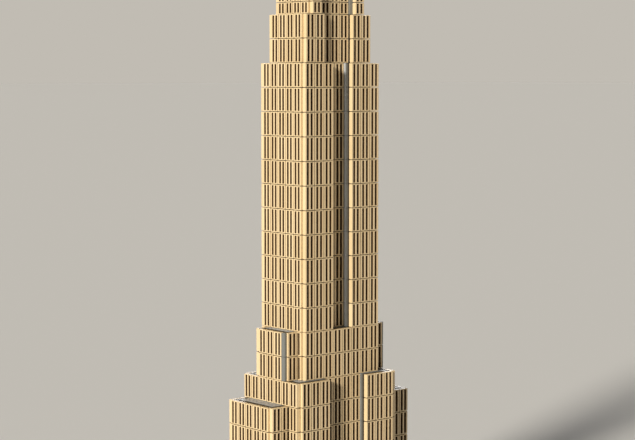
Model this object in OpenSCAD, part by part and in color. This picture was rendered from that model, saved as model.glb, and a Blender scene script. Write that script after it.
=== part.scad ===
// Desk-top model of a stepped art-deco skyscraper, built from interlocking
// plastic bricks. Hollow brick cores carry upright plates, and every wall
// is clad with small grille tiles that stand on end, one row to a storey band.
// Origin: middle of the plinth's underside. +Z is up, the wide front faces -Y.

/* [Brick system] */
// Distance from stud to stud, and the width of one grille tile
pitch = 8; // [8:1:10]
// Thickness of a plate or a tile
plate = 3.2; // [3:0.1:3.6]
// Clearance that each piece keeps from the edge of its own space
gap = 0.1; // [0.05:0.05:0.15]
// Wall of a hollow brick
wall = 1.5; // [1.2:0.1:1.8]

/* [Grille tile] */
// Width of one rib and of one slot: a tile is five of them wide
rib = 1.6; // [1.4:0.1:1.7]
// Plain margin above and below the slots
tile_end = 0.8; // [0.6:0.1:2]

/* [Rows of tiles, from the desk up] */
// Podium
podium_rows = 2; // [1:1:3]
// Lower block, with its corner piers
lower_rows = 5; // [3:1:6]
// Shoulder blocks on the flanks of the shaft
shoulder_rows = 2; // [1:1:3]
// Main shaft, the stretch with a recess down its middle
shaft_rows = 11; // [8:1:13]
// Upper block
upper_rows = 2; // [1:1:3]
// Observation deck
deck_rows = 1; // [1:1:2]

/* [Widths in tiles] */
// Each corner pier of the shaft's front
pier_cols = 3; // [3:1:4]
// Recess between the piers
recess_cols = 2; // [2:1:3]
// Flank of the shaft
flank_cols = 5; // [5:1:6]
// Left wing, seen from the front
left_wing_cols = 2; // [1:1:2]
// Right wing, seen from the front
right_wing_cols = 3; // [2:1:3]

/* [Steps] */
// How far a flank's tiles stand proud of the front wall's edge
side_step = 1.1; // [0.8:0.1:1.6]
// How far the crown's front stands in from the edge of the upper block's
crown_step = 5.6; // [4:0.8:7.2]
// Depth of the recess behind the piers
recess_depth = 8; // [6.4:0.8:8]
// How far the lower block's front piers stand in front of the shaft
lower_step = 6.4; // [6.4:0.8:8]

/* [Plinth] */
// Plinth width
plinth_w = 176; // [176:8:208]
// Plinth depth
plinth_d = 128; // [128:8:144]

/* [Mast] */
// Diameter of the round mast
mast_d = 16; // [14:1:18]
// Courses of round brick in the mast
mast_courses = 5; // [4:1:5]
// Height of the tip above the desk
tip_z = 552; // [548:1:580]
// Antenna diameter
antenna_d = 3.2; // [3:0.2:4]

/* [Hidden] */
$fn = 48;
tan_plastic = "#DDC08A";
grey_plastic = "#A0A5A9";
dark_plastic = "#6C6E68";
black_plastic = "#1B1B1D";

row = 2 * pitch;
brick = 3 * plate;
trim = plate - side_step;
behind = trim + plate;
kerb = 0.75 * pitch;
shoulder_slack = 0.5;

// Levels, from the desk up
plinth_top = 4 * plate;
podium_top = plinth_top + podium_rows * row;
wing_h = (lower_rows - 1) * row;
wing_top = podium_top + wing_h;
lower_top = wing_top + row;
shoulder_top = lower_top + shoulder_rows * row;
shaft_top = shoulder_top + shaft_rows * row;
upper_top = shaft_top + upper_rows * row;
crown_h = 1.5 * row;
crown_top = upper_top + crown_h;
deck_top = crown_top + deck_rows * row;
mast_foot = deck_top + plate + 2 * brick;
mast_top = mast_foot + mast_courses * brick;
dome_h = brick + plate;
cone_foot = mast_top + plate + dome_h;

// Half widths of the fronts, and how far each face stands from the axis
recess_hw = recess_cols * pitch / 2;
shaft_hw = pier_cols * pitch + recess_hw;
shaft_hy = flank_cols * pitch / 2 + plate;
recess_y = shaft_hy - recess_depth;
upper_hw = shaft_hw - pitch / 2;
upper_hy = shaft_hy - pitch / 2;
upper_recess_cols = 2 * (upper_hw / pitch - 2);
upper_recess_hw = upper_recess_cols * pitch / 2;
crown_hw = upper_hw - crown_step;
crown_ledge = crown_hw - pitch - upper_recess_hw;
deck_hw = upper_hw - pitch;
deck_hy = upper_hy - pitch / 2;
lower_hw = shaft_hw + pitch;
lower_cols = flank_cols + 2;
lower_front = shaft_hy + lower_step;
lower_side = lower_hw + plate;
middle_cols = 2 * (lower_hw / pitch - pier_cols);
left_end = lower_hw + left_wing_cols * pitch;
right_end = lower_hw + right_wing_cols * pitch;
wing_front = lower_front - plate - pitch;
wing_back = flank_cols * pitch + 2 * plate - wing_front;
shoulder_cols = flank_cols - 2;
shoulder_hy = shoulder_cols * pitch / 2 + 1.5 * plate;
shoulder_in = shaft_hw + side_step + shoulder_slack;
shoulder_out = shoulder_in + pitch;
podium_left = left_end + 2 * pitch;
podium_right = right_end + 2 * pitch;
podium_cols = (podium_left + podium_right) / pitch;
podium_front = lower_front + pitch;
podium_side_cols = lower_cols + 2;
podium_back = podium_side_cols * pitch + 2 * plate - podium_front;
portal_cols = 3;
portal_side_cols = (podium_side_cols - portal_cols) / 2;
portal_w = portal_cols * pitch;
portal_x = -podium_left - side_step;
portal_y = (podium_back - podium_front) / 2;
portal_h = podium_rows * row - brick;
door_t = plate / 2;
inner_w = plinth_w / 2 - pitch;
inner_d = plinth_d / 2 - pitch;
kerb_front = -podium_front - kerb;
kerb_back = podium_back + kerb;

// Cores: spans in X and in Y, and the half width and the foot of their notches
function span(half) = [-half, half];
podium_x = [behind - podium_left, podium_right - behind];
podium_y = [2 * plate - podium_front, podium_back - 2 * plate];
wing_y = [2 * plate - wing_front, wing_back - 2 * plate];
left_wing_x = [behind - left_end, -lower_hw];
right_wing_x = [lower_hw, right_end - behind];
lower_x = span(lower_hw - plate);
lower_y = span(lower_front - 2 * plate);
shaft_x = span(shaft_hw - behind);
shaft_y = span(shaft_hy - 2 * plate);
shaft_notch = [recess_hw, recess_y - 2 * plate];
lower_notch = [middle_cols * pitch / 2, shaft_y[1]];
shoulder_x = [shaft_x[1] + plate, lower_side - 2 * plate];
shoulder_y = span(shoulder_cols * pitch / 2);
upper_x = span(upper_hw - behind);
upper_y = span(upper_hy - 2 * plate);
upper_notch = [upper_recess_hw, recess_y - 2 * plate];
crown_x = span(crown_hw - behind);
deck_x = span(deck_hw - behind);
deck_y = span(deck_hy - 2 * plate);

// A wall is [turn, start, plane, columns, left, right]: turn is the angle about Z
// from the front, start is its left end as its viewer sees it, plane is how far its
// outer face stands from the axis, and left and right are what the plate behind it
// is cut short by at its ends.
shaft_piers = [for (turn = [0, 180]) each [
    [turn, -shaft_hw, shaft_hy, pier_cols, trim, 0],
    [turn, recess_hw, shaft_hy, pier_cols, 0, trim]]];
shaft_recesses = [for (turn = [0, 180]) [turn, -recess_hw, recess_y, recess_cols, 0, 0]];
shaft_flanks = [for (turn = [90, 270])
    [turn, plate - shaft_hy, shaft_hw + side_step, flank_cols, plate, plate]];
band_fronts = [for (turn = [0, 180])
    [turn, -shaft_hw, shaft_hy, 2 * pier_cols + recess_cols, trim, trim]];
band_corners = [for (turn = [90, 270], start = [plate - shaft_hy, shaft_hy - plate - pitch])
    [turn, start, shaft_hw + side_step, 1, 0, 0]];
middle_walls = [for (turn = [0, 180])
    [turn, -middle_cols * pitch / 2, shaft_hy, middle_cols, 0, 0]];
upper_fronts = [for (turn = [0, 180]) each [
    [turn, -upper_hw, upper_hy, 2, trim, 0],
    [turn, -upper_recess_hw, recess_y, upper_recess_cols, 0, 0],
    [turn, upper_recess_hw, upper_hy, 2, 0, trim]]];
upper_flanks = [for (turn = [90, 270])
    [turn, plate - upper_hy, upper_hw + side_step, flank_cols - 1, plate, plate]];
crown_walls = [for (turn = [0, 180]) each [
    [turn, -crown_hw, upper_hy, 1, trim, -crown_ledge],
    [turn, -upper_recess_hw, recess_y, upper_recess_cols, 0, 0],
    [turn, crown_hw - pitch, upper_hy, 1, -crown_ledge, trim],
    [turn + 90, plate - upper_hy, crown_hw + side_step, flank_cols - 1, plate, plate]]];
deck_walls = [for (turn = [0, 180]) each [
    [turn, -deck_hw, deck_hy, 2 * deck_hw / pitch, trim, trim],
    [turn + 90, plate - deck_hy, deck_hw + side_step, flank_cols - 2, plate, plate]]];
lower_piers = [for (turn = [0, 180], start = [-lower_hw, lower_hw - pier_cols * pitch])
    [turn, start, lower_front, pier_cols, 0, 0]];
lower_flanks = [for (turn = [90, 270])
    [turn, -lower_cols * pitch / 2, lower_side, lower_cols, 1.5 * plate, 1.5 * plate]];
lower_corners = [
    [90, -lower_cols * pitch / 2, lower_side, 1, 0, 0],
    [270, (lower_cols / 2 - 1) * pitch, lower_side, 1, 0, 0]];
left_wing_walls = [
    [0, -left_end, wing_front, left_wing_cols, trim, 0],
    [180, lower_hw, wing_back, left_wing_cols, 0, trim],
    [270, plate - wing_back, left_end + side_step, flank_cols, plate, plate]];
right_wing_walls = [
    [0, lower_hw, wing_front, right_wing_cols, 0, trim],
    [180, -right_end, wing_back, right_wing_cols, trim, 0],
    [90, plate - wing_front, right_end + side_step, flank_cols, plate, plate]];
shoulder_fronts = [for (turn = [0, 180]) each [
    [turn, -shoulder_out, shoulder_hy, 1, 0, 0],
    [turn, shoulder_in, shoulder_hy, 1, 0, 0]]];
shoulder_flanks = [for (turn = [90, 270])
    [turn, shoulder_y[0], lower_side, shoulder_cols, 0, 0]];
podium_long_walls = [
    [0, -podium_left, podium_front, podium_cols, trim, trim],
    [180, -podium_right, podium_back, podium_cols, trim, trim]];
podium_end_walls = [
    [90, plate - podium_front, podium_right + side_step, podium_side_cols, plate, plate],
    [270, plate - podium_back, podium_left + side_step, portal_side_cols, plate, 0],
    [270, podium_front - plate - portal_side_cols * pitch, podium_left + side_step,
        portal_side_cols, 0, plate]];

// Place children on a wall whose top edge is at height top
module on_wall(w, top) {
    rotate([0, 0, w[0]]) translate([w[1], -w[2], top]) children();
}

// One grille tile standing on end: three ribs, with two slots between them
module grille_tile(height) {
    translate([0, plate, -height])
        rotate([90, 0, 0])
            linear_extrude(plate)
                difference() {
                    translate([gap, gap]) square([pitch - 2 * gap, height - 2 * gap]);
                    for (x = [rib, 3 * rib])
                        translate([x, tile_end]) square([rib, height - 2 * tile_end]);
                }
}

// Grille tiles over every wall of a list
module tile_walls(walls, top, rows, height = row) {
    color(tan_plastic)
        for (w = walls)
            on_wall(w, top)
                for (c = [0 : w[3] - 1], r = [0 : rows - 1])
                    translate([c * pitch, 0, -r * height]) grille_tile(height);
}

// One of the upright plates that a wall's tiles sit on
module upright_plate(w, height, depth) {
    translate([w[4] + gap, plate, gap - height])
        cube([w[3] * pitch - w[4] - w[5] - 2 * gap, depth, height - 2 * gap]);
}

// Plates behind every wall of a list, stacked in lifts from the top down
module plate_walls(walls, top, height, lift, depth = plate) {
    color(grey_plastic)
        for (w = walls)
            on_wall(w, top)
                for (z = [0 : lift : height - 1])
                    translate([0, 0, -z]) upright_plate(w, min(lift, height - z), depth);
}

// Outline of a core: a rectangle with a notch in its front and its back
module core_outline(x, y, notch, inset) {
    difference() {
        translate([x[0] + inset, y[0] + inset])
            square([x[1] - x[0] - 2 * inset, y[1] - y[0] - 2 * inset]);
        if (notch[0] > 0)
            for (side = [-1, 1])
                translate([0, side * (notch[1] - inset + row)])
                    square([2 * (notch[0] + inset), 2 * row], center = true);
    }
}

// One course of a core: closed on top, hollow and open below
module course(z, height, x, y, notch) {
    color(grey_plastic)
        translate([0, 0, z])
            difference() {
                linear_extrude(height - gap) core_outline(x, y, notch, 0);
                translate([0, 0, -1])
                    linear_extrude(height - wall + 1) core_outline(x, y, notch, wall);
            }
}

// The brick courses of a core, one to a row of tiles
module brick_courses(bottom, top, x, y, notch = [0, 0]) {
    for (z = [bottom : row : top - 1])
        course(z, min(brick, top - z), x, y, notch);
}

// The plates between the brick courses
module plate_courses(bottom, top, x, y, notch = [0, 0]) {
    for (z = [bottom + brick : row : top - 1])
        course(z, min(row - brick, top - z), x, y, notch);
}

// Smooth tiles that fill a rectangle, so many along X and so many along Y
module roof_tiles(x, y, top, cols, rows, plastic = grey_plastic) {
    w = (x[1] - x[0]) / cols;
    d = (y[1] - y[0]) / rows;
    color(plastic)
        for (c = [0 : cols - 1], r = [0 : rows - 1])
            translate([x[0] + c * w + gap, y[0] + r * d + gap, top - plate])
                cube([w - 2 * gap, d - 2 * gap, plate]);
}

// Left and right copies of something drawn on the right
module both_sides() {
    children();
    mirror([1, 0, 0]) children();
}

// Plinth: a base plate, a frame of bricks, a ring of rim tiles and the paving

module base_plate() {
    color(black_plastic)
        translate([-plinth_w / 2, -plinth_d / 2, 0]) cube([plinth_w, plinth_d, plate]);
}

// Four long cells between the outer bricks and the ribs
module plinth_bricks() {
    cell_w = (plinth_w - pitch) / 4;
    color(black_plastic)
        translate([0, 0, plate])
            linear_extrude(2 * plate)
                difference() {
                    square([plinth_w - 2 * gap, plinth_d - 2 * gap], center = true);
                    for (x = [-1.5 : 1.5])
                        translate([x * cell_w, 0])
                            square([cell_w - pitch, plinth_d - 2 * pitch], center = true);
                }
}

module plinth_rim_tiles() {
    quarter = plinth_w / 4;
    color(black_plastic)
        translate([0, 0, 3 * plate]) {
            for (i = [0 : 3], side = [-1, 1])
                if (side == 1 || i == 0 || i == 3)
                    translate([(i - 1.5) * quarter, side * (plinth_d - pitch) / 2, plate / 2])
                        cube([quarter - 2 * gap, pitch - 2 * gap, plate], center = true);
            for (x = [-1, 1], y = [-1, 1])
                translate([x * (plinth_w - pitch) / 2, y * inner_d / 2, plate / 2])
                    cube([pitch - 2 * gap, inner_d - 2 * gap, plate], center = true);
        }
}

// Blank tile in the middle of the front rim
module name_tile() {
    color(black_plastic)
        translate([0, (pitch - plinth_d) / 2, 3.5 * plate])
            cube([plinth_w / 2 - 2 * gap, pitch - 2 * gap, plate], center = true);
}

// Carriageway along the front and the back of the block
module street_tiles() {
    for (y = [[-inner_d, kerb_front], [kerb_back, inner_d]])
        roof_tiles([-inner_w, inner_w], y, plinth_top, 5, 1, dark_plastic);
}

// Pavement slabs, which run on under the podium
module pavement_tiles() {
    roof_tiles([-inner_w, inner_w], [kerb_front, kerb_back], plinth_top, 5, 3);
}

// Podium, with the entrance in its left end

module podium_core() {
    brick_courses(plinth_top, podium_top - plate, podium_x, podium_y);
    plate_courses(plinth_top, podium_top - plate, podium_x, podium_y);
}

module podium_plates() {
    plate_walls(concat(podium_long_walls, podium_end_walls), podium_top,
        podium_rows * row, podium_rows * row);
}

module podium_long_tiles() {
    tile_walls(podium_long_walls, podium_top, podium_rows);
}

module podium_end_tiles() {
    tile_walls(podium_end_walls, podium_top, podium_rows);
}

module podium_roof() {
    roof_tiles(podium_x, podium_y, podium_top, 9, 4);
}

// Round pillars on either side of the doorway
module entrance_pillars() {
    color(tan_plastic)
        for (side = [-1, 1])
            translate([
                portal_x + pitch / 4,
                portal_y + side * (portal_w - pitch / 2) / 2,
                plinth_top])
                cylinder(d = pitch / 2 - gap, h = portal_h);
}

module entrance_lintel() {
    color(tan_plastic)
        translate([portal_x - plate / 2, portal_y - portal_w / 2 + gap, podium_top - brick])
            cube([2.5 * plate, portal_w - 2 * gap, brick - gap]);
}

// Two pairs of dark glazed doors, set back behind the pillars
module entrance_doors() {
    color(black_plastic)
        for (leaf = [0 : 3])
            translate([
                portal_x + behind - door_t + side_step,
                portal_y - portal_w / 2 + leaf * portal_w / 4 + gap,
                plinth_top])
                cube([door_t, portal_w / 4 - 2 * gap, portal_h - gap]);
}

// Wings, either side of the lower block

module wing_cores() {
    for (x = [left_wing_x, right_wing_x]) {
        brick_courses(podium_top, wing_top - plate, x, wing_y);
        plate_courses(podium_top, wing_top - plate, x, wing_y);
    }
}

module wing_plates() {
    plate_walls(concat(left_wing_walls, right_wing_walls), wing_top, wing_h, 2 * row);
}

module left_wing_tiles() {
    tile_walls(left_wing_walls, wing_top, lower_rows - 1);
}

module right_wing_tiles() {
    tile_walls(right_wing_walls, wing_top, lower_rows - 1);
}

module wing_roofs() {
    roof_tiles(left_wing_x, wing_y, wing_top, 1, 2);
    roof_tiles(right_wing_x, wing_y, wing_top, 2, 2);
}

// Lower block, with corner piers that stand in front of the shaft's line

module lower_core() {
    brick_courses(podium_top, lower_top - plate, lower_x, lower_y, lower_notch);
    plate_courses(podium_top, lower_top - plate, lower_x, lower_y, lower_notch);
}

module lower_pier_plates() {
    plate_walls(lower_piers, lower_top, lower_rows * row, row);
}

module lower_flank_plates() {
    plate_walls(lower_flanks, lower_top, row, row);
    plate_walls(lower_flanks, wing_top, wing_h, 2 * row);
}

module lower_middle_plates() {
    plate_walls(middle_walls, lower_top, lower_rows * row, row);
}

module lower_pier_tiles() {
    tile_walls(lower_piers, lower_top, lower_rows);
}

// Below the wings' roofs only the front corner column shows
module lower_flank_tiles() {
    tile_walls(lower_flanks, lower_top, 1);
    tile_walls(lower_corners, wing_top, lower_rows - 1);
}

module lower_middle_tiles() {
    tile_walls(middle_walls, lower_top, lower_rows);
}

// The shaft stands on this layer, which shows as a narrow ledge round its foot
module lower_roof() {
    both_sides() {
        roof_tiles([0, lower_x[1]], shaft_y, lower_top, 2, 2);
        for (y = [[lower_y[0], shaft_y[0]], [shaft_y[1], lower_y[1]]])
            roof_tiles([lower_notch[0], lower_x[1]], y, lower_top, 1, 1);
    }
}

// Shoulders, on the flanks of the shaft

module shoulder_cores() {
    both_sides() {
        brick_courses(lower_top, shoulder_top - plate, shoulder_x, shoulder_y);
        plate_courses(lower_top, shoulder_top - plate, shoulder_x, shoulder_y);
    }
}

// A thin bracket edge closes the joint between the walls at each front corner
module shoulder_plates() {
    plate_walls(shoulder_fronts, shoulder_top, shoulder_rows * row, row, plate / 2);
    plate_walls(shoulder_flanks, shoulder_top, shoulder_rows * row, shoulder_rows * row);
    color(grey_plastic)
        for (x = [-1, 1], r = [1 : shoulder_rows])
            translate([
                x * (shoulder_out + lower_side + gap) / 2,
                -(shoulder_y[1] + shoulder_hy - side_step) / 2,
                shoulder_top - (r - 0.5) * row])
                cube([
                    lower_side - shoulder_out - gap,
                    shoulder_hy - side_step - shoulder_y[1] - 2 * gap,
                    row - 2 * gap], center = true);
}

module shoulder_tiles() {
    tile_walls(shoulder_fronts, shoulder_top, shoulder_rows);
    tile_walls(shoulder_flanks, shoulder_top, shoulder_rows);
}

module shoulder_roofs() {
    both_sides() roof_tiles(shoulder_x, shoulder_y, shoulder_top, 1, 1);
}

// Band of the shaft between the shoulders, where the recess is closed

module band_plates() {
    plate_walls(band_fronts, shoulder_top, shoulder_rows * row, row);
    plate_walls(shaft_flanks, shoulder_top, shoulder_rows * row, shoulder_rows * row);
}

module band_tiles() {
    tile_walls(concat(band_fronts, band_corners), shoulder_top, shoulder_rows);
}

// Main shaft

module shaft_core_bricks() {
    brick_courses(lower_top, shoulder_top, shaft_x, shaft_y);
    brick_courses(shoulder_top, shaft_top, shaft_x, shaft_y, shaft_notch);
}

module shaft_core_plates() {
    plate_courses(lower_top, shoulder_top, shaft_x, shaft_y);
    plate_courses(shoulder_top, shaft_top, shaft_x, shaft_y, shaft_notch);
}

// Two thin plates under the piers' top lift take up the height of the brick below
module shaft_pier_plates() {
    plate_walls(shaft_piers, shaft_top, row, row);
    plate_walls(shaft_piers, shaft_top - row, 2 * plate, plate);
    plate_walls(shaft_piers, shaft_top - row - 2 * plate, brick, brick);
    plate_walls(shaft_piers, shaft_top - 2 * row, (shaft_rows - 2) * row, row);
}

module shaft_recess_plates() {
    plate_walls(shaft_recesses, shaft_top, shaft_rows * row, 4 * row);
}

module shaft_flank_plates() {
    plate_walls(shaft_flanks, shaft_top, shaft_rows * row, 4 * row);
}

module shaft_pier_tiles() {
    tile_walls(shaft_piers, shaft_top, shaft_rows);
}

module shaft_recess_tiles() {
    tile_walls(shaft_recesses, shaft_top, shaft_rows);
}

module shaft_flank_tiles() {
    tile_walls(shaft_flanks, shaft_top, shaft_rows);
}

// Upper block

module upper_core() {
    brick_courses(shaft_top, upper_top, upper_x, upper_y, upper_notch);
    plate_courses(shaft_top, upper_top, upper_x, upper_y, upper_notch);
}

module upper_plates() {
    plate_walls(concat(upper_fronts, upper_flanks), upper_top, upper_rows * row, upper_rows * row);
}

module upper_front_tiles() {
    tile_walls(upper_fronts, upper_top, upper_rows);
}

module upper_flank_tiles() {
    tile_walls(upper_flanks, upper_top, upper_rows);
}

// Crown block, whose rows are half a tile out of step with the rows below

module crown_core() {
    brick_courses(upper_top, crown_top - plate, crown_x, upper_y, upper_notch);
    plate_courses(upper_top, crown_top - plate, crown_x, upper_y, upper_notch);
}

module crown_plates() {
    plate_walls(crown_walls, crown_top, crown_h, crown_h);
}

module crown_tiles() {
    tile_walls(crown_walls, crown_top, 1);
    tile_walls(crown_walls, crown_top - row, 1, pitch);
}

module crown_roof() {
    roof_tiles(crown_x, [-upper_notch[1], upper_notch[1]], crown_top, 2, 1);
}

// Observation deck

module deck_core() {
    brick_courses(crown_top, deck_top, deck_x, deck_y);
    plate_courses(crown_top, deck_top, deck_x, deck_y);
}

module deck_plates() {
    plate_walls(deck_walls, deck_top, deck_rows * row, deck_rows * row);
}

module deck_tiles() {
    tile_walls(deck_walls, deck_top, deck_rows);
}

// Floor plate of the deck, with a low parapet round it
module deck_floor() {
    w = 2 * (deck_hw + side_step + plate / 2);
    d = 2 * (deck_hy + plate / 2);
    color(tan_plastic)
        translate([0, 0, deck_top])
            difference() {
                translate([-w / 2, -d / 2, 0]) cube([w, d, 2 * plate]);
                translate([wall - w / 2, wall - d / 2, plate])
                    cube([w - 2 * wall, d - 2 * wall, 2 * plate]);
            }
}

// Mast: a stepped base, round bricks with four buttress wings, and the dome

module mast_base() {
    color(grey_plastic)
        translate([0, 0, deck_top + plate]) {
            translate([-1.5 * pitch, -1.5 * pitch, 0]) cube([3 * pitch, 3 * pitch, brick]);
            translate([-1.25 * pitch, -1.25 * pitch, brick])
                cube([2.5 * pitch, 2.5 * pitch, brick]);
        }
}

module mast_bricks() {
    color(grey_plastic)
        for (i = [0 : mast_courses - 1])
            translate([0, 0, mast_foot + i * brick])
                cylinder(d = mast_d, h = brick - gap);
}

// Each wing steps in towards the top, like the buttress it stands for
module mast_wings() {
    color(grey_plastic)
        for (turn = [0 : 90 : 270])
            rotate([0, 0, turn])
                translate([0, plate / 2, mast_foot])
                    rotate([90, 0, 0])
                        linear_extrude(plate)
                            polygon([
                                [mast_d / 2 + gap, 0], [mast_d / 2 + 5, 0],
                                [mast_d / 2 + 5, 2 * brick], [mast_d / 2 + 3.5, 2 * brick + plate],
                                [mast_d / 2 + 3.5, 3.5 * brick],
                                [mast_d / 2 + 1.6, 4 * brick], [mast_d / 2 + gap, 4 * brick]]);
}

module mast_ring() {
    color(grey_plastic)
        translate([0, 0, mast_top]) cylinder(d = mast_d + plate, h = plate);
}

// Domed brick: a short drum that rounds over to the foot of the cone
module mast_dome() {
    dome_r = 1.2 * mast_d / 2;
    centre_z = dome_h - sqrt(dome_r * dome_r - pitch * pitch / 4);
    color(grey_plastic)
        translate([0, 0, mast_top + plate])
            rotate_extrude()
                intersection() {
                    square([mast_d / 2, dome_h]);
                    translate([0, centre_z]) circle(r = dome_r);
                }
}

module mast_cone() {
    color(grey_plastic)
        translate([0, 0, cone_foot]) cylinder(d1 = pitch - gap, d2 = antenna_d + 1.6, h = brick);
}

// Thin rod with a rounded tip
module antenna() {
    foot = cone_foot + brick;
    color(grey_plastic) {
        translate([0, 0, foot]) cylinder(d = antenna_d, h = tip_z - antenna_d / 2 - foot);
        translate([0, 0, tip_z - antenna_d / 2]) sphere(d = antenna_d);
    }
}

base_plate();
plinth_bricks();
plinth_rim_tiles();
name_tile();
street_tiles();
pavement_tiles();
podium_core();
podium_plates();
podium_long_tiles();
podium_end_tiles();
podium_roof();
entrance_pillars();
entrance_lintel();
entrance_doors();
wing_cores();
wing_plates();
left_wing_tiles();
right_wing_tiles();
wing_roofs();
lower_core();
lower_pier_plates();
lower_flank_plates();
lower_middle_plates();
lower_pier_tiles();
lower_flank_tiles();
lower_middle_tiles();
lower_roof();
shoulder_cores();
shoulder_plates();
shoulder_tiles();
shoulder_roofs();
band_plates();
band_tiles();
shaft_core_bricks();
shaft_core_plates();
shaft_pier_plates();
shaft_recess_plates();
shaft_flank_plates();
shaft_pier_tiles();
shaft_recess_tiles();
shaft_flank_tiles();
upper_core();
upper_plates();
upper_front_tiles();
upper_flank_tiles();
crown_core();
crown_plates();
crown_tiles();
crown_roof();
deck_core();
deck_plates();
deck_tiles();
deck_floor();
mast_base();
mast_bricks();
mast_wings();
mast_ring();
mast_dome();
mast_cone();
antenna();
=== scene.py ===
"""Looks of a brick-built model of a stepped skyscraper.

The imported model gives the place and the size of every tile, plate and brick. This
script swaps those plain solids for moulded ones: grille tiles with ribs, slots and
hollow backs, plates with studs, softened edges, and moulded ABS in five colours. The
foot, the entrance, the deck and the mast are drawn afresh inside their own boxes.
"""

import math
import random

import bmesh
import bpy
from mathutils import Matrix, Vector


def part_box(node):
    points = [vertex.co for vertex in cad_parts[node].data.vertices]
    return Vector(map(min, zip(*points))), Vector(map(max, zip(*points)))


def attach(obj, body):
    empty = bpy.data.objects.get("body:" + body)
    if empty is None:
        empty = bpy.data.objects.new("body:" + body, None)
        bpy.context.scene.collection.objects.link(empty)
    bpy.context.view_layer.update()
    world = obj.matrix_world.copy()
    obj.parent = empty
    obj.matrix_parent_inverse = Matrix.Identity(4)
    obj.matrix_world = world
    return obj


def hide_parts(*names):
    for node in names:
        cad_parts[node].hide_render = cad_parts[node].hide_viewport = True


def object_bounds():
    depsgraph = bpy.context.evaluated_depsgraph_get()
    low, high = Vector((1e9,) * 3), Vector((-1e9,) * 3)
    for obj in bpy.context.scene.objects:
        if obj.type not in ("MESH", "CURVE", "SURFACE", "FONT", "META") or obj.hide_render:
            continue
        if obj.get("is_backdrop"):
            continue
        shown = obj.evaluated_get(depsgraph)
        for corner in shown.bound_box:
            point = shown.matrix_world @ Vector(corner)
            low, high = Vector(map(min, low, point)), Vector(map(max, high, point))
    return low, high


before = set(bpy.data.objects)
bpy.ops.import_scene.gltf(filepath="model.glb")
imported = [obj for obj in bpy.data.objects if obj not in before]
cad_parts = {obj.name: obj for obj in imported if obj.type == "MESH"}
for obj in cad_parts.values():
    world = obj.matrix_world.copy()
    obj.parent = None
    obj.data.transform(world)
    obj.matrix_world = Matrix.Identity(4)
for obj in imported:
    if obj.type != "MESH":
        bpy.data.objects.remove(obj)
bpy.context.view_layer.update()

MM = 0.001
rng = random.Random(1931)

# Brick system, in millimetres
PITCH = 8.0
PLATE = 3.2
BRICK = 9.6
GAP = 0.1
JOINT = 0.2
STUD_D = 4.8
STUD_H = 1.7

# Grille tile: its ribs and slots, the band at each end, and the groove round its foot
RIB = 1.6
SLOT = 1.85
TILE_END = 0.8
TILE_FACE = 1.45
GROOVE_W = 0.28
GROOVE_H = 0.45
EDGE = 0.14


# Moulded ABS


def linear(hex_code):
    """An sRGB hex value as a linear colour."""
    parts = [int(hex_code[i : i + 2], 16) / 255 for i in (1, 3, 5)]
    return [c / 12.92 if c <= 0.04045 else ((c + 0.055) / 1.055) ** 2.4 for c in parts] + [1.0]


def add(tree, kind, inputs=None, **settings):
    """Adds a node, with its settings and with a value or a link for each input."""
    node = tree.nodes.new(kind)
    for name, value in settings.items():
        setattr(node, name, value)
    for name, value in (inputs or {}).items():
        if isinstance(value, bpy.types.NodeSocket):
            tree.links.new(value, node.inputs[name])
        else:
            node.inputs[name].default_value = value
    return node


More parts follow.
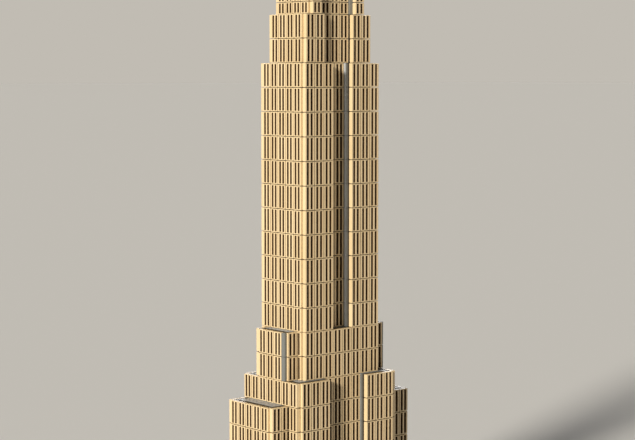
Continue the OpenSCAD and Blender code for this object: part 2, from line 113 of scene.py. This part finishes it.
def moulded_abs(name, colour, pale, deep, shade, roughness=0.24):
    """Moulded ABS: a glossy, slightly uneven skin. Batches differ a little in shade,
    handling leaves faint cloudy smears in the gloss, and slots, joints and faces behind tiles
    are painted shade: a dark warm colour, with the gloss dulled and no highlight."""
    material = bpy.data.materials.new(name)
    material.use_nodes = True
    tree = material.node_tree
    tree.nodes.clear()
    place = add(tree, "ShaderNodeTexCoord").outputs["Object"]
    batch = add(tree, "ShaderNodeAttribute", attribute_name="batch").outputs["Fac"]
    hollow = add(tree, "ShaderNodeAttribute", attribute_name="hollow").outputs["Fac"]
    # Shade from piece to piece
    piece = add(tree, "ShaderNodeMix", {"Factor": batch, "A": linear(deep), "B": linear(pale)},
                data_type="RGBA").outputs["Result"]
    # Flow marks of the moulding, about 6 mm across
    flow = add(tree, "ShaderNodeTexNoise",
               {"Vector": place, "Scale": 1 / (6 * MM), "Detail": 3.0, "Roughness": 0.55})
    flow_amount = add(tree, "ShaderNodeMapRange",
                      {"Value": flow.outputs["Fac"], "From Min": 0.3, "From Max": 0.7,
                       "To Min": 0.0, "To Max": 0.5}).outputs["Result"]
    body = add(tree, "ShaderNodeMix",
               {"Factor": flow_amount, "A": piece, "B": linear(colour)},
               data_type="RGBA").outputs["Result"]
    # Painted shade: deep in slots and joints, where little light gets in, the colour is mixed towards
    # a dark brown
    body = add(tree, "ShaderNodeMix", {"Factor": hollow, "A": body, "B": linear(shade)},
               data_type="RGBA").outputs["Result"]
    # Smears from handling, about 25 mm across, dull the gloss
    smear = add(tree, "ShaderNodeTexNoise",
                {"Vector": place, "Scale": 1 / (25 * MM), "Detail": 5.0, "Roughness": 0.6})
    gloss = add(tree, "ShaderNodeMapRange",
                {"Value": smear.outputs["Fac"], "From Min": 0.35, "From Max": 0.7,
                 "To Min": roughness, "To Max": roughness + 0.12}).outputs["Result"]
    # The painted shade also dulls the gloss and takes the highlight away
    gloss = add(tree, "ShaderNodeMapRange",
                {"Value": hollow, "To Min": gloss, "To Max": 0.7}).outputs["Result"]
    shine = add(tree, "ShaderNodeMapRange",
                {"Value": hollow, "To Min": 0.5, "To Max": 0.0}).outputs["Result"]
    # Shallow sink marks 4 mm across, under tooling marks drawn 0.4 mm coarse to show
    sink = add(tree, "ShaderNodeTexNoise",
               {"Vector": place, "Scale": 1 / (4 * MM), "Detail": 1.0, "Roughness": 0.4})
    tooling = add(tree, "ShaderNodeTexNoise",
                  {"Vector": place, "Scale": 1 / (0.4 * MM), "Detail": 2.0, "Roughness": 0.5})
    height = add(tree, "ShaderNodeMix",
                 {"Factor": 0.06, "A": sink.outputs["Fac"], "B": tooling.outputs["Fac"]},
                 data_type="FLOAT").outputs["Result"]
    bump = add(tree, "ShaderNodeBump",
               {"Height": height, "Strength": 0.22, "Distance": 0.2 * MM}).outputs["Normal"]
    skin = add(tree, "ShaderNodeBsdfPrincipled",
               {"Base Color": body, "Roughness": gloss, "IOR": 1.53, "Specular IOR Level": shine,
                "Normal": bump})
    add(tree, "ShaderNodeOutputMaterial", {"Surface": skin.outputs["BSDF"]})
    return material


# Warm sand-coloured walls, whose slots are painted a deep brown shade
TAN = moulded_abs("tan_abs", "#DDC499", "#E2CAA0", "#D6BC90", "#442000")
# Light cool grey roofs, pavement and mast, a little duller than the walls
GREY = moulded_abs("grey_abs", "#AAADB0", "#B2B5B7", "#A3A6A9", "#2E2418", roughness=0.32)
# Mid grey plates, seen as quiet strips where a wall shows its edge
STONE = moulded_abs("stone_grey_abs", "#737470", "#7A7B77", "#6C6D69", "#2E2418")
# Dark grey street round the pavement
DARK = moulded_abs("dark_grey_abs", "#6C6E68", "#73756F", "#656762", "#3A3A36")
# Shiny black plinth and doors, which mirror the room along their edges
BLACK = moulded_abs("black_abs", "#1B1B1D", "#222224", "#161618", "#0C0C0C", roughness=0.2)


# Meshes. Drawings are in millimetres; pieces are turned into metres at the end


def cells(xs, ys, zs, filled):
    """Closed mesh round the filled cells of a grid with uneven spacing."""
    bm = bmesh.new()
    corner = {}

    def vert(i, j, k):
        if (i, j, k) not in corner:
            corner[i, j, k] = bm.verts.new((xs[i], ys[j], zs[k]))
        return corner[i, j, k]

    def solid(i, j, k):
        inside = 0 <= i < len(xs) - 1 and 0 <= j < len(ys) - 1 and 0 <= k < len(zs) - 1
        return inside and filled((xs[i] + xs[i + 1]) / 2, (ys[j] + ys[j + 1]) / 2,
                                 (zs[k] + zs[k + 1]) / 2)

    sides = [
        ((-1, 0, 0), [(0, 0, 0), (0, 0, 1), (0, 1, 1), (0, 1, 0)]),
        ((1, 0, 0), [(1, 0, 0), (1, 1, 0), (1, 1, 1), (1, 0, 1)]),
        ((0, -1, 0), [(0, 0, 0), (1, 0, 0), (1, 0, 1), (0, 0, 1)]),
        ((0, 1, 0), [(0, 1, 0), (0, 1, 1), (1, 1, 1), (1, 1, 0)]),
        ((0, 0, -1), [(0, 0, 0), (0, 1, 0), (1, 1, 0), (1, 0, 0)]),
        ((0, 0, 1), [(0, 0, 1), (1, 0, 1), (1, 1, 1), (0, 1, 1)]),
    ]
    for i in range(len(xs) - 1):
        for j in range(len(ys) - 1):
            for k in range(len(zs) - 1):
                if not solid(i, j, k):
                    continue
                for step, ring in sides:
                    if not solid(i + step[0], j + step[1], k + step[2]):
                        bm.faces.new([vert(i + a, j + b, k + c) for a, b, c in ring])
    bmesh.ops.dissolve_limit(bm, angle_limit=math.radians(1), verts=bm.verts, edges=bm.edges)
    return bm


def soften(bm, width, segments=2, sharp=30, wanted=None):
    """Rounds the convex edges of a moulding."""
    edges = [e for e in bm.edges
             if e.is_manifold and e.calc_face_angle(0) > math.radians(sharp) and e.is_convex
             and (wanted is None or wanted(e))]
    bmesh.ops.bevel(bm, geom=edges, offset=width, offset_type="OFFSET", segments=segments,
                    profile=0.5, affect="EDGES", clamp_overlap=True)
    return bm


def grille_tile(height):
    """One tile, face towards -Y at y = 0: ribs, slots, a hollow back and a foot groove."""
    half_w = PITCH / 2 - JOINT
    half_h = height / 2 - JOINT
    slot_h = height / 2 - TILE_END

    def mirrored(*values):
        return sorted([-v for v in values] + list(values))

    def filled(x, y, z):
        x, z = abs(x), abs(z)
        if y > PLATE - GROOVE_H and (x > half_w - GROOVE_W or z > half_h - GROOVE_W):
            return False
        if y < TILE_FACE:
            return not (abs(x - RIB) < SLOT / 2 and z < slot_h)
        return x > RIB + SLOT / 2 or z > slot_h

    bm = cells(mirrored(RIB - SLOT / 2, RIB + SLOT / 2, half_w - GROOVE_W, half_w),
               [0, TILE_FACE, PLATE - GROOVE_H, PLATE],
               mirrored(slot_h, half_h - GROOVE_W, half_h), filled)
    return soften(bm, EDGE, wanted=lambda e: max(v.co.y for v in e.verts) < PLATE - GROOVE_H - 0.01
                  and min(v.co.y for v in e.verts) < 0.01)


def stud():
    """A plain stud, axis along Y, from y = 0 at its top to its foot."""
    r = STUD_D / 2
    bm = bmesh.new()
    bmesh.ops.create_cone(bm, cap_ends=True, segments=20, radius1=r, radius2=r, depth=STUD_H,
                          matrix=Matrix.Translation((0, STUD_H / 2, 0))
                          @ Matrix.Rotation(math.pi / 2, 4, "X"))
    return soften(bm, 0.15, segments=1, sharp=60)


def as_parts(bm):
    """The points and faces of a drawing, which is then freed."""
    bm.verts.index_update()
    parts = [v.co.copy() for v in bm.verts], [[v.index for v in f.verts] for f in bm.faces]
    bm.free()
    return parts


class Batch:
    """Many like mouldings gathered into one mesh, each with its own shade."""

    def __init__(self):
        self.points, self.faces, self.shades, self.hollows = [], [], [], []

    def put(self, parts, matrix=Matrix(), shade=None, hollow=None):
        """The painted shade of each point, from 0 to 1: how dark it is painted, as shade deep in a
        slot or behind a tile.
        """
        points, faces = parts
        start = len(self.points)
        self.points += [matrix @ p for p in points]
        self.faces += [[start + i for i in f] for f in faces]
        self.shades += [rng.random() if shade is None else shade] * len(points)
        self.hollows += hollow or [0.0] * len(points)

    def piece(self, name, material, slot, nodes, smooth=0):
        """Makes the mesh, in its plastic, and lets it stand for its CAD nodes."""
        mesh = bpy.data.meshes.new(name)
        mesh.from_pydata([p * MM for p in self.points], [], self.faces)
        mesh.attributes.new("batch", "FLOAT", "POINT").data.foreach_set("value", self.shades)
        mesh.attributes.new("hollow", "FLOAT", "POINT").data.foreach_set("value", self.hollows)
        if smooth:
            mesh.shade_smooth()
            mesh.set_sharp_from_angle(angle=math.radians(smooth))
        mesh.materials.append(material)
        piece = bpy.data.objects.new(name, mesh)
        bpy.context.scene.collection.objects.link(piece)
        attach(piece, "root")
        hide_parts(*nodes)
        return piece


def solids(node):
    """The separate solids of a CAD node, each as a welded mesh in millimetres."""
    bm = bmesh.new()
    bm.from_mesh(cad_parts[node].data)
    bmesh.ops.scale(bm, vec=(1 / MM,) * 3, verts=bm.verts)
    bmesh.ops.remove_doubles(bm, verts=bm.verts, dist=0.001)
    bm.verts.index_update()
    seen = set()
    found = []
    for first in bm.verts:
        if first.index in seen:
            continue
        group, queue = [], [first]
        seen.add(first.index)
        while queue:
            v = queue.pop()
            group.append(v)
            for e in v.link_edges:
                other = e.other_vert(v)
                if other.index not in seen:
                    seen.add(other.index)
                    queue.append(other)
        number = {v.index: i for i, v in enumerate(group)}
        faces = sorted({f for v in group for f in v.link_faces}, key=lambda f: f.index)
        found.append(([v.co.copy() for v in group],
                      [[number[v.index] for v in f.verts] for f in faces]))
    bm.free()
    return found


def span(points):
    """Lowest and highest corner of some points."""
    return (Vector([min(p[a] for p in points) for a in range(3)]),
            Vector([max(p[a] for p in points) for a in range(3)]))


def from_parts(parts):
    """A drawing again, from its points and faces."""
    bm = bmesh.new()
    verts = [bm.verts.new(p) for p in parts[0]]
    for f in parts[1]:
        bm.faces.new([verts[i] for i in f])
    return bm


def outward(low, high):
    """Turn about Z from the front, and the middle of the outer face, of a wall tile."""
    middle = (low + high) / 2
    size = high - low
    if size.x < size.y:
        turn = 90 if middle.x > 0 else 270
        middle.x = high.x if middle.x > 0 else low.x
    else:
        turn = 180 if middle.y > 0 else 0
        middle.y = high.y if middle.y > 0 else low.y
    return turn, middle


def seat(turn, middle, slack=0.0):
    """Where a piece drawn facing -Y goes on a wall. Slack is how loosely it was pressed on."""
    tilt = math.radians(slack * 8)
    wobble = Matrix.LocRotScale(
        (rng.uniform(-slack, slack), 0, rng.uniform(-slack, slack)),
        Matrix.Rotation(rng.uniform(-tilt, tilt), 3, "X")
        @ Matrix.Rotation(rng.uniform(-tilt, tilt), 3, "Y")
        @ Matrix.Rotation(rng.uniform(-tilt, tilt), 3, "Z"), None)
    return Matrix.Translation(middle) @ Matrix.Rotation(math.radians(turn), 4, "Z") @ wobble


# Cladding: every tile of every wall, and the plates and studs behind it

FULL_TILE = as_parts(grille_tile(2 * PITCH))
HALF_TILE = as_parts(grille_tile(PITCH))
STUD = as_parts(stud())


def hollows(parts, height, beside, stacked):
    """How much painted shade each point of a tile gets: 1 deep in a slot or in the joint between
    rows, less in the tighter joint between columns. A tile's free edges get none."""
    hair = 0.01
    edge_x = PITCH / 2 - JOINT - hair
    edge_z = height / 2 - JOINT - hair
    slot_x = RIB + SLOT / 2 + 2 * EDGE
    slot_z = height / 2 - TILE_END + EDGE / 2
    at_mouth, per_mm, between_columns = 0.75, 0.4, 0.8
    found = []
    for p in parts[0]:
        painted_dark = 0.0
        if p.y > EDGE / 2:
            if abs(p.x) < slot_x and abs(p.z) < slot_z:
                painted_dark = min(1.0, at_mouth + per_mm * (p.y - EDGE))
            if abs(p.z) > edge_z and stacked[p.z > 0]:
                painted_dark = 1.0
            elif abs(p.x) > edge_x and beside[p.x > 0]:
                painted_dark = between_columns
        found.append(painted_dark)
    return found


WALLS = {
    "podium_plates": ["podium_long_tiles", "podium_end_tiles"],
    "wing_plates": ["left_wing_tiles", "right_wing_tiles"],
    "lower_pier_plates": ["lower_pier_tiles"],
    "lower_flank_plates": ["lower_flank_tiles"],
    "lower_middle_plates": ["lower_middle_tiles"],
    "shoulder_plates": ["shoulder_tiles"],
    "band_plates": ["band_tiles"],
    "shaft_pier_plates": ["shaft_pier_tiles"],
    "shaft_recess_plates": ["shaft_recess_tiles"],
    "shaft_flank_plates": ["shaft_flank_tiles"],
    "upper_plates": ["upper_front_tiles", "upper_flank_tiles"],
    "crown_plates": ["crown_tiles"],
    "deck_plates": ["deck_tiles"],
}


def cell(point):
    """A tile's place, rounded so that its neighbours can be looked up."""
    return tuple(round(c) for c in point)


def clad(plate_node, tile_nodes):
    """Tiles, and behind them bevelled plates whose studs show through the slots; the plate faces and
    studs behind the tiles are painted shade.
    """
    plates = Batch()
    for points, faces in solids(plate_node):
        low, high = span(points)
        parts = as_parts(soften(from_parts((points, faces)), EDGE))
        turn, middle = outward(low, high)
        facing = Matrix.Rotation(math.radians(turn), 3, "Z") @ Vector((0, -1, 0))
        # Plate faces covered by tiles are painted full shade, so a dark sheet shows through the slots
        covered = max(high.x - low.x, high.y - low.y) > PITCH / 2 and plate_node != "crown_plates"
        plates.put(parts, hollow=[float(covered and (p - middle).dot(facing) > -0.01)
                                  for p in parts[0]])
    for node in tile_nodes:
        tiles = Batch()
        boxes = [span(points) for points, _ in solids(node)]
        taken = {cell((low + high) / 2) for low, high in boxes}
        for low, high in boxes:
            turn, middle = outward(low, high)
            tall = high.z - low.z > 1.5 * PITCH
            height = 2 * PITCH if tall else PITCH
            centre = (low + high) / 2
            along = Matrix.Rotation(math.radians(turn), 3, "Z") @ Vector((PITCH, 0, 0))
            beside = [cell(centre + side * along) in taken for side in (-1, 1)]
            stacked = [any(cell(centre + Vector((0, 0, side * rise * PITCH))) in taken
                           for rise in (1, 1.5, 2)) for side in (-1, 1)]
            parts = FULL_TILE if tall else HALF_TILE
            tiles.put(parts, seat(turn, middle, 0.02),
                      hollow=hollows(parts, height, beside, stacked))
            # The studs behind each tile are painted almost full shade
            for z in (-PITCH / 2, PITCH / 2) if tall else (0,):
                spot = Matrix.Translation((0, PLATE - STUD_H, z))
                plates.put(STUD, seat(turn, middle) @ spot, 0.5, [0.9] * len(STUD[0]))
        tiles.piece(node + "_moulded", TAN, "tan_abs", [node])
    plates.piece(plate_node + "_studded", STONE, "grey_abs", [plate_node])


for plate_node, tile_nodes in WALLS.items():
    clad(plate_node, tile_nodes)


# Roofs and trim keep their CAD shape, with softened edges


def softened(node, material, slot, width=EDGE):
    """A CAD node with the same shape and rounded edges."""
    batch = Batch()
    for points, faces in solids(node):
        bm = from_parts((points, faces))
        bmesh.ops.dissolve_limit(bm, angle_limit=math.radians(1), verts=bm.verts, edges=bm.edges)
        batch.put(as_parts(soften(bm, width)))
    return batch.piece(node + "_moulded", material, slot, [node])


for node in ("podium_roof", "wing_roofs", "lower_roof", "shoulder_roofs", "crown_roof"):
    softened(node, GREY, "grey_abs")
for node in ("plinth_rim_tiles", "name_tile"):
    softened(node, BLACK, "black_abs", 0.2)
softened("street_tiles", DARK, "dark_grey_abs")


# Shapes drawn here, all in millimetres


def box_of(node):
    """Lowest and highest corner of a CAD node."""
    low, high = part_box(node)
    return low / MM, high / MM


def block(low, high, width=EDGE):
    """A bevelled block between two corners."""
    bm = bmesh.new()
    low, high = Vector(low), Vector(high)
    bmesh.ops.create_cube(bm, size=1, matrix=Matrix.Translation((low + high) / 2)
                          @ Matrix.Diagonal((*(high - low), 1)))
    return as_parts(soften(bm, width))


def lathe(profile, turns=64):
    """A turned shape: the profile is (radius, height) from the axis at the foot to the top."""
    bm = bmesh.new()
    rings = []
    for radius, height in profile:
        if radius == 0:
            rings.append([bm.verts.new((0, 0, height))])
            continue
        rings.append([bm.verts.new((radius * math.cos(math.tau * i / turns),
                                    radius * math.sin(math.tau * i / turns), height))
                      for i in range(turns)])
    for below, above in zip(rings, rings[1:]):
        for i in range(turns):
            ring = [below[i % len(below)], below[(i + 1) % len(below)],
                    above[(i + 1) % len(above)], above[i % len(above)]]
            bm.faces.new(list(dict.fromkeys(ring)))
    return as_parts(bm)


def run(length, unit, offset):
    """Joints along a course of bricks: where each starts and ends."""
    cuts = [0.0]
    at = offset
    while at < length - 0.5 * PITCH:
        if at > 0:
            cuts.append(at)
        at += unit
    return list(zip(cuts, cuts[1:] + [length]))


# Plinth: a row of wide plates, and two courses of plates laid in bond round the edge

low, high = box_of("base_plate")
base = Batch()
for x0, x1 in run(high.x - low.x, 6 * PITCH, 5 * PITCH):
    base.put(block((low.x + x0 + (GAP if x0 else 0), low.y, low.z),
                   (low.x + x1 - (GAP if low.x + x1 < high.x else 0), high.y, high.z), 0.25))
base.piece("base_plates", BLACK, "black_abs", ["base_plate"])

low, high = box_of("plinth_bricks")
courses = Batch()
for course in range(2):
    z0, z1 = low.z + course * PLATE + GAP / 2, low.z + (course + 1) * PLATE - GAP / 2
    for y0, y1 in ((low.y, low.y + PITCH), (high.y - PITCH, high.y)):
        for x0, x1 in run(high.x - low.x, 4 * PITCH, 2 * PITCH * course):
            courses.put(block((low.x + x0 + GAP, y0, z0), (low.x + x1 - GAP, y1, z1)))
    for x0, x1 in ((low.x, low.x + PITCH), (high.x - PITCH, high.x)):
        for y0, y1 in run(high.y - low.y - 2 * PITCH, 4 * PITCH, 2 * PITCH * (1 - course)):
            courses.put(block((x0, low.y + PITCH + y0 + GAP, z0),
                              (x1, low.y + PITCH + y1 - GAP, z1)))
courses.piece("plinth_courses", BLACK, "black_abs", ["plinth_bricks"])

# Pavement in single-stud slabs, left out where the podium covers it
low, high = box_of("pavement_tiles")
podium_low, podium_high = box_of("podium_core")
slabs = Batch()
across = round((high.x - low.x) / PITCH)
along = round((high.y - low.y) / PITCH)
for i in range(across):
    for j in range(along):
        x0, x1 = (low.x + (high.x - low.x) * (i + k) / across for k in (0, 1))
        y0, y1 = (low.y + (high.y - low.y) * (j + k) / along for k in (0, 1))
        inside = (podium_low.x < x0 and x1 < podium_high.x
                  and podium_low.y < y0 and y1 < podium_high.y)
        if not inside:
            slabs.put(block((x0 + GAP, y0 + GAP, low.z), (x1 - GAP, y1 - GAP, high.z)))
slabs.piece("pavement_slabs", GREY, "grey_abs", ["pavement_tiles"])


# Entrance: turned pillars, a stepped lintel, and framed doors with sunk panes

pillars = Batch()
for points, _ in solids("entrance_pillars"):
    low, high = span(points)
    r, top = (high.x - low.x) / 2, high.z - low.z
    profile = [(0, 0), (r, 0), (r, 2.4), (r - 0.35, 2.9), (r - 0.35, top - 2.9),
               (r, top - 2.4), (r, top), (0, top)]
    middle = (low + high) / 2
    pillars.put(lathe(profile, 32), Matrix.Translation((middle.x, middle.y, low.z)))
pillars.piece("entrance_pillars_turned", TAN, "tan_abs", ["entrance_pillars"], smooth=35)

low, high = box_of("entrance_lintel")
lintel = Batch()
lintel.put(block((low.x + 0.8, low.y, low.z), (high.x, high.y, low.z + PLATE - GAP)))
lintel.put(block((low.x, low.y, low.z + PLATE), (high.x, high.y, low.z + 2 * PLATE - GAP)))
lintel.put(block((low.x + 0.8, low.y, low.z + 2 * PLATE), high))
lintel.piece("entrance_lintel_courses", TAN, "tan_abs", ["entrance_lintel"])

doors = Batch()
for points, _ in solids("entrance_doors"):
    low, high = span(points)
    stile = 0.7
    pane = 0.5
    width = high.y - low.y
    height = high.z - low.z
    rails = [0, stile, width - stile, width]
    levels = [0, 2.5, 2.5 + (height - 2.5) * 0.62, 3.2 + (height - 2.5) * 0.62,
              height - stile, height]

    def leaf(x, y, z):
        in_pane = rails[1] < y < rails[2] and (levels[1] < z < levels[2]
                                               or levels[3] < z < levels[4])
        return not (in_pane and x < pane)

    bm = soften(cells([0, pane, high.x - low.x], rails, levels, leaf), 0.08, segments=1)
    doors.put(as_parts(bm), Matrix.Translation(low))
doors.piece("entrance_doors_framed", BLACK, "black_abs", ["entrance_doors"])


# Observation deck: a parapet of small plates round a sunk floor

low, high = box_of("deck_floor")
deck = Batch()
rim = 1.5
deck.put(block(low, (high.x, high.y, low.z + PLATE - GAP)))
for y0, y1 in ((low.y, low.y + rim), (high.y - rim, high.y)):
    for x0, x1 in run(high.x - low.x, PITCH, (high.x - low.x) % PITCH / 2):
        deck.put(block((low.x + x0 + GAP, y0, low.z + PLATE), (low.x + x1 - GAP, y1, high.z)))
for x0, x1 in ((low.x, low.x + rim), (high.x - rim, high.x)):
    length = high.y - low.y - 2 * rim
    for y0, y1 in run(length, PITCH, length % PITCH / 2):
        deck.put(block((x0, low.y + rim + y0 + GAP, low.z + PLATE),
                       (x1, low.y + rim + y1 - GAP, high.z)))
deck.piece("deck_parapet", TAN, "tan_abs", ["deck_floor"])


# Mast: stepped base, fluted round bricks, buttress wings, dome, cone and antenna

low, high = box_of("mast_base")
steps = Batch()
foot = 12.0
levels = [low.z, low.z + PLATE, low.z + BRICK, low.z + BRICK + 2 * PLATE, high.z]
for z0, z1, half in zip(levels, levels[1:], (foot, foot - 0.4, foot - 2.4, foot - 2)):
    steps.put(block((-half, -half, z0), (half, half, z1 - GAP), 0.2))
steps.piece("mast_base_steps", GREY, "grey_abs", ["mast_base"])

mast = Batch()
for points, _ in solids("mast_bricks"):
    low, high = span(points)
    r, tall = (high.x - low.x) / 2, high.z - low.z
    bm = bmesh.new()
    flutes, points_each, flute_depth = 16, 6, 0.45
    count = flutes * points_each
    rings = []
    for height, inset in ((0, 0.7), (0.8, 0.7), (0.95, 0.12), (1.3, 0), (tall - 0.15, 0),
                          (tall, 0.15)):
        ring = []
        fluted = 1.2 < height < tall - 0.1
        for i in range(count):
            sunk = flute_depth if fluted and i % points_each in (0, 1) else 0.0
            angle = math.tau * (i - 0.5) / count
            radius = r - max(inset, sunk)
            ring.append(bm.verts.new((radius * math.cos(angle), radius * math.sin(angle), height)))
        rings.append(ring)
    for below, above in zip(rings, rings[1:]):
        for i in range(len(below)):
            j = (i + 1) % len(below)
            bm.faces.new((below[i], below[j], above[j], above[i]))
    bm.faces.new(list(reversed(rings[0])))
    bm.faces.new(rings[-1])
    mast.put(as_parts(bm), Matrix.Translation((0, 0, low.z)))
mast.piece("mast_bricks_fluted", GREY, "grey_abs", ["mast_bricks"])

softened("mast_wings", GREY, "grey_abs", 0.25)


def turned(node, profile):
    """A turned piece in the place of a CAD node, from a profile above the node's foot."""
    batch = Batch()
    batch.put(lathe(profile), Matrix.Translation((0, 0, box_of(node)[0].z)))
    batch.piece(node + "_turned", GREY, "grey_abs", [node], smooth=35)


low, high = box_of("mast_ring")
r, h = high.x, high.z - low.z
turned("mast_ring", [(0, 0), (r - 0.9, 0), (r - 0.9, 0.8), (r - 0.2, 0.9), (r, 1.1), (r, h - 0.3),
                     (r - 0.3, h), (0, h)])

low, high = box_of("mast_dome")
r, h = high.x, high.z - low.z
dome_r = 1.2 * r
centre = h - math.sqrt(dome_r ** 2 - (PITCH / 2) ** 2)
spring = centre + math.sqrt(dome_r ** 2 - r ** 2)
start = math.asin((spring - centre) / dome_r)
end = math.acos(PITCH / 2 / dome_r)
bow = [(dome_r * math.cos(a), centre + dome_r * math.sin(a))
       for a in (start + (end - start) * i / 14 for i in range(15))]
turned("mast_dome", [(0, 0), (r - 0.5, 0), (r - 0.5, 0.7), (r, 0.8), (r, spring * 0.45),
                     (r - 0.35, spring * 0.45 + 0.1), (r - 0.35, spring * 0.6),
                     (r, spring * 0.6 + 0.1)] + bow + [(0, h)])

low, high = box_of("mast_cone")
r, h = high.x, high.z - low.z
tip = 2.4
turned("mast_cone", [(0, 0), (r - 0.1, 0), (r, 0.1), (r - 0.1, 1.2), (r - 0.5, 1.3),
                     (r - 0.6, 1.7), (r - 0.5, 1.8), (tip + 0.25, h - 1.6), (tip, h - 1.5),
                     (tip, h - 0.15), (tip - 0.15, h), (0, h)])

# The antenna thins at each collar, and ends in a ball
low, high = box_of("antenna")
r, h = high.x, high.z - low.z
shank = h - 2 * r
collars = [0.0, 0.32, 0.6, 0.82, 1]
rod = [(0, 0)]
for collar, above in zip(collars, collars[1:]):
    z = collar * shank
    neck = r - 0.1 - 0.35 * collar
    rod += [(r, z), (r, z + 1.4), (neck, z + 1.6), (neck, shank * above - 0.2)]
rod += [(neck + 0.2, shank)]
rod += [(r * math.cos(a), h - r + r * math.sin(a))
        for a in (math.radians(-50 + 140 * i / 12) for i in range(12))]
turned("antenna", rod + [(0, h)])

# The hollow cores inside stay as they are, in the same grey
for node in ("podium_core", "wing_cores", "lower_core", "shoulder_cores", "shaft_core_bricks",
             "shaft_core_plates", "upper_core", "crown_core", "deck_core"):
    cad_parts[node].data.materials.clear()
    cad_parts[node].data.materials.append(GREY)


# Floor and soft studio light


def matte(name, hex_code):
    """Flat paint that throws light evenly, so the floor meets the room without a line."""
    material = bpy.data.materials.new(name)
    material.use_nodes = True
    shader = material.node_tree.nodes["Principled BSDF"]
    shader.inputs["Base Color"].default_value = linear(hex_code)
    shader.inputs["Roughness"].default_value = 1.0
    shader.inputs["Specular IOR Level"].default_value = 0.0
    return material


SIDE = 60.0
floor_mesh = bpy.data.meshes.new("floor")
floor_mesh.from_pydata([(-SIDE, -SIDE, 0), (SIDE, -SIDE, 0), (SIDE, SIDE, 0), (-SIDE, SIDE, 0)],
                       [], [(0, 1, 2, 3)])
floor = bpy.data.objects.new("floor", floor_mesh)
floor_mesh.materials.append(matte("pale_floor", "#DEDCD8"))
bpy.context.scene.collection.objects.link(floor)
floor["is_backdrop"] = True

# A plain pale room: as bright as the floor at eye level, and dim above
world = bpy.data.worlds.new("studio")
world.use_nodes = True
sky = world.node_tree
way = add(sky, "ShaderNodeTexCoord").outputs["Generated"]
upward = add(sky, "ShaderNodeSeparateXYZ", {"Vector": way}).outputs["Z"]
overhead = add(sky, "ShaderNodeMapRange",
               {"Value": upward, "From Min": 0.06, "From Max": 0.25, "To Min": 0.0, "To Max": 1.0},
               interpolation_type="SMOOTHSTEP").outputs["Result"]
room = add(sky, "ShaderNodeMix", {"Factor": overhead, "A": linear("#C1BCB3"), "B": linear("#303032")},
           data_type="RGBA").outputs["Result"]
sky.links.new(room, sky.nodes["Background"].inputs["Color"])
bpy.context.scene.world = world


def lamp(name, bearing, height, strength, spread, hex_code):
    """Even light from one side: bearing and height in degrees, bearing from the front."""
    light = bpy.data.lights.new(name, "SUN")
    light.energy = strength
    light.angle = math.radians(spread)
    light.color = linear(hex_code)[:3]
    holder = bpy.data.objects.new(name, light)
    holder.rotation_euler = (math.radians(90 - height), 0, math.radians(bearing))
    bpy.context.scene.collection.objects.link(holder)


lamp("key", -70, 20, 4.65, 10, "#FFFAF0")
lamp("fill", 20, 30, 0.08, 40, "#FFFAF0")
lamp("back", 135, 28, 1.1, 30, "#FFFFFF")


# Camera: level with the shaft's top, looking slightly down past the left corner

AZIMUTH = math.radians(-39.96)
DISTANCE = 1188.6 * MM
OFF_AXIS = -1.7 * MM
PITCH_DOWN = math.radians(4.664)
back = Vector((math.sin(AZIMUTH), -math.cos(AZIMUTH), 0))
right = Vector((math.cos(AZIMUTH), math.sin(AZIMUTH), 0))
eye_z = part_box("shaft_pier_tiles")[1].z - 8.0 * MM
camera = bpy.data.objects.new("camera", bpy.data.cameras.new("camera"))
camera.location = back * DISTANCE + right * OFF_AXIS + Vector((0, 0, eye_z))
camera.rotation_euler = (math.pi / 2 - PITCH_DOWN, 0, AZIMUTH)
camera.data.sensor_width = 36
camera.data.lens = 100.59
camera.data.clip_start = 0.05
bpy.context.scene.collection.objects.link(camera)
bpy.context.scene.camera = camera
bpy.context.scene.view_settings.view_transform = "Standard"

low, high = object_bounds()
